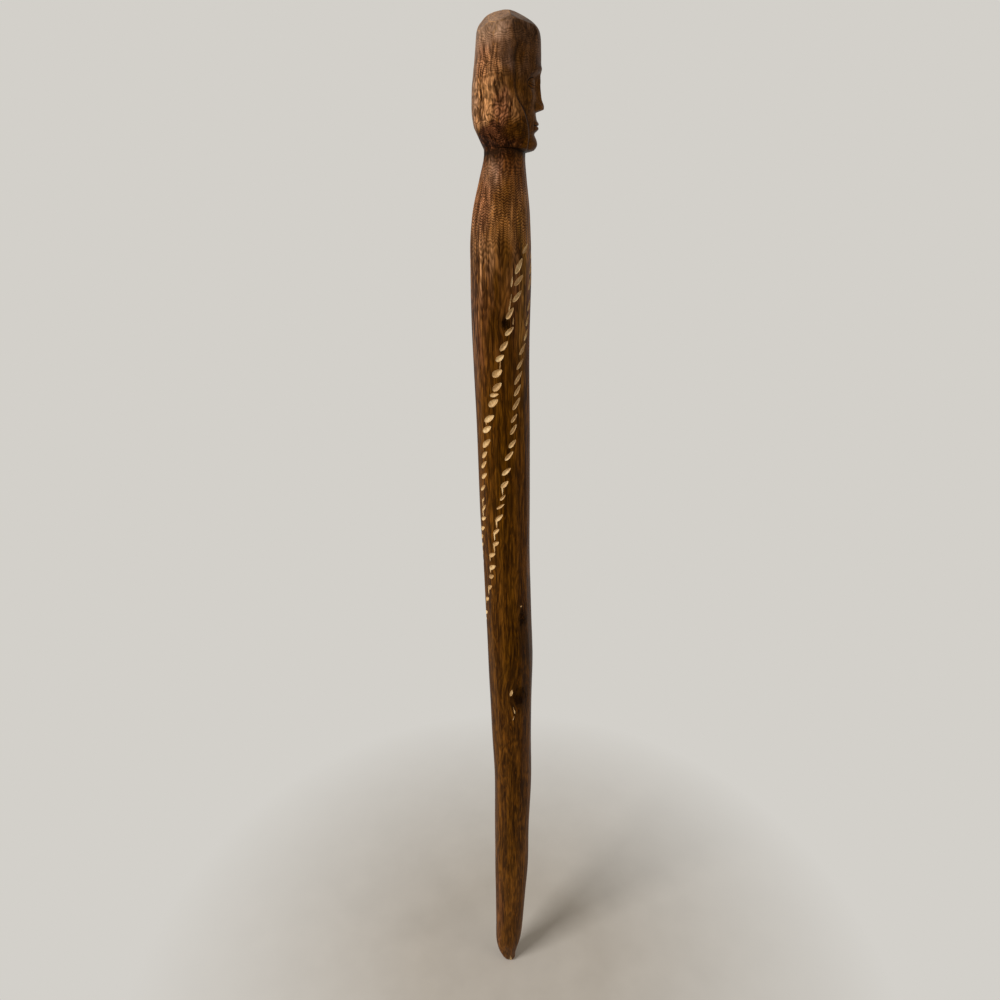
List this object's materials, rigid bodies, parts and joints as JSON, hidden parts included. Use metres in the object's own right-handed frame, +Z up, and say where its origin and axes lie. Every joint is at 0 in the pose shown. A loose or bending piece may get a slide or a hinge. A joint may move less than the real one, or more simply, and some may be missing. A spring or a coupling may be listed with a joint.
{
  "type": "walking stick",
  "caption": "One-piece walking stick carved from a branch: head for a handle, narrow neck, long shaft with winding chip cuts and loose knots, and a whittled tip.",
  "frame": {"origin": "middle of the worn flat face at the tip", "axes": "+Z up along the stick from the tip to the crown, +X the way the carved face looks, +Y to the carved head's left"},
  "size_m": [0.0534, 0.043, 0.915],
  "materials": {
    "stained_wood": "stained and varnished, satin",
    "dead_branch_wood": "dark dead branch stub under varnish",
    "encased_bark": "dark encased bark, matt"
  },
  "bodies": {
    "root": {"carved_stick": "stained_wood", "upper_knot_core": "dead_branch_wood", "upper_knot_bark": "encased_bark", "middle_knot_core": "dead_branch_wood", "middle_knot_bark": "encased_bark", "lower_knot_core": "dead_branch_wood", "lower_knot_bark": "encased_bark"}
  },
  "joints": []
}
